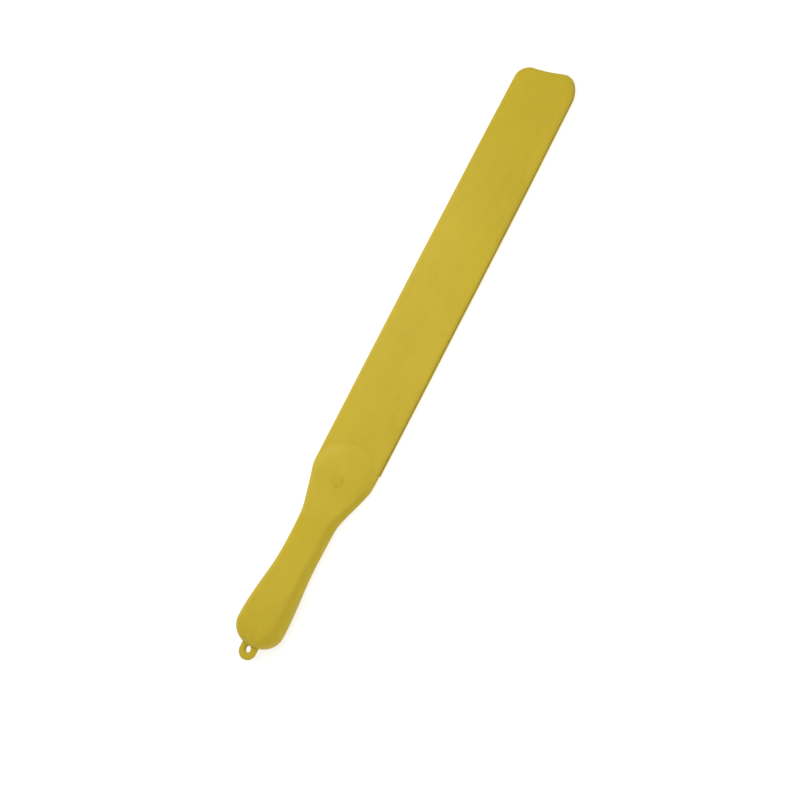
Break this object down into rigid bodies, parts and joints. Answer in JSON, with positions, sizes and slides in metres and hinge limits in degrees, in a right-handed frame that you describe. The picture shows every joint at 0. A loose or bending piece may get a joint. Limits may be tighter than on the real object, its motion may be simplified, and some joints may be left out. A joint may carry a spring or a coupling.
{
  "type": "livestock slapper",
  "caption": "Hand-held livestock slapper: a hollow two-shell plastic grip with a hanging eye, and two long thin springy leaves that clap together.",
  "frame": {"origin": "middle of the overall length and width, on the flat back face", "axes": "+X along the tool from the hanging eye to the tip, +Y across the blade, +Z out of the front face"},
  "size_m": [0.48, 0.0526, 0.019],
  "materials": {
    "leaf_plastic": "satin moulded polypropylene, warm yellow",
    "grip_plastic": "satin moulded polypropylene, warm yellow",
    "rivet_plastic": "satin, same yellow as the grip",
    "spacer_plastic": "natural, unpigmented",
    "screw_steel": "zinc-plated"
  },
  "bodies": {
    "grip": {"front_grip_shell": "grip_plastic", "back_grip_shell": "grip_plastic", "front_leaf_root": "leaf_plastic", "back_leaf_root": "leaf_plastic", "leaf_spacer": "spacer_plastic", "hanging_eye": "grip_plastic", "clamp_rivet": "rivet_plastic", "clamp_rivet_cap": "rivet_plastic", "cover_screws": "screw_steel"},
    "front_leaf": {"front_leaf": "leaf_plastic"},
    "back_leaf": {"back_leaf": "leaf_plastic"}
  },
  "joints": [
    {"name": "front_leaf_flex", "type": "hinge", "parent": "grip", "child": "front_leaf", "pos_m": [-0.019, 0, 0.00445], "axis": [0, -1, 0], "range_deg": [-0.1, 20], "stiffness_Nm_per_rad": 0.4},
    {"name": "back_leaf_flex", "type": "hinge", "parent": "grip", "child": "back_leaf", "pos_m": [-0.019, 0, 0.00105], "axis": [0, 1, 0], "range_deg": [-0.1, 20], "stiffness_Nm_per_rad": 0.4}
  ]
}
